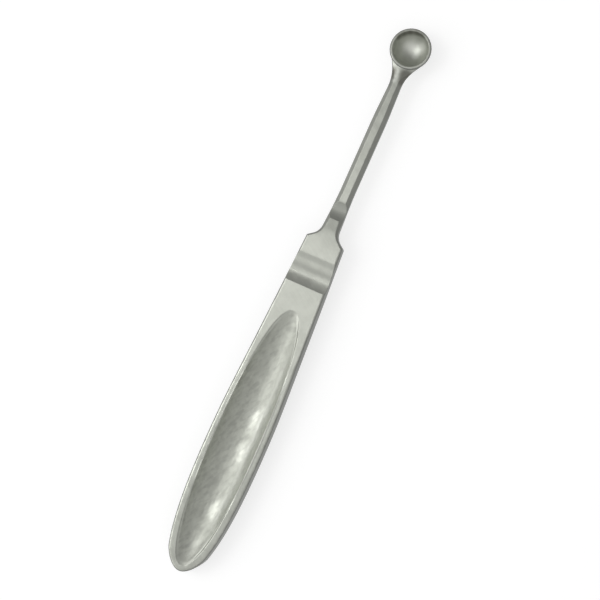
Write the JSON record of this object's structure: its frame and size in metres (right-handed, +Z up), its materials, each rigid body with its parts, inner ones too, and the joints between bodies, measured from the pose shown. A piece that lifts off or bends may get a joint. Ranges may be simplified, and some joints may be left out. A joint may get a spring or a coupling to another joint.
{
  "type": "bone curette",
  "caption": "Bone curette: a broad flat handle with a long thumb hollow, a stepped shoulder, a slim faceted shank and a small round sharp-rimmed scoop.",
  "frame": {"origin": "Middle of the tool's length and width, on the plane that the flat back of the handle rests on.", "axes": "+X runs from the butt of the handle to the cup, +Z points up out of the thumb hollow and the open cup, Y is across the tool."},
  "size_m": [0.17, 0.0172, 0.0063],
  "materials": {
    "satin_steel": "hand-ground and satin-polished stainless steel with a faint warm grey tone"
  },
  "bodies": {
    "root": {"curette": "satin_steel"}
  },
  "joints": []
}
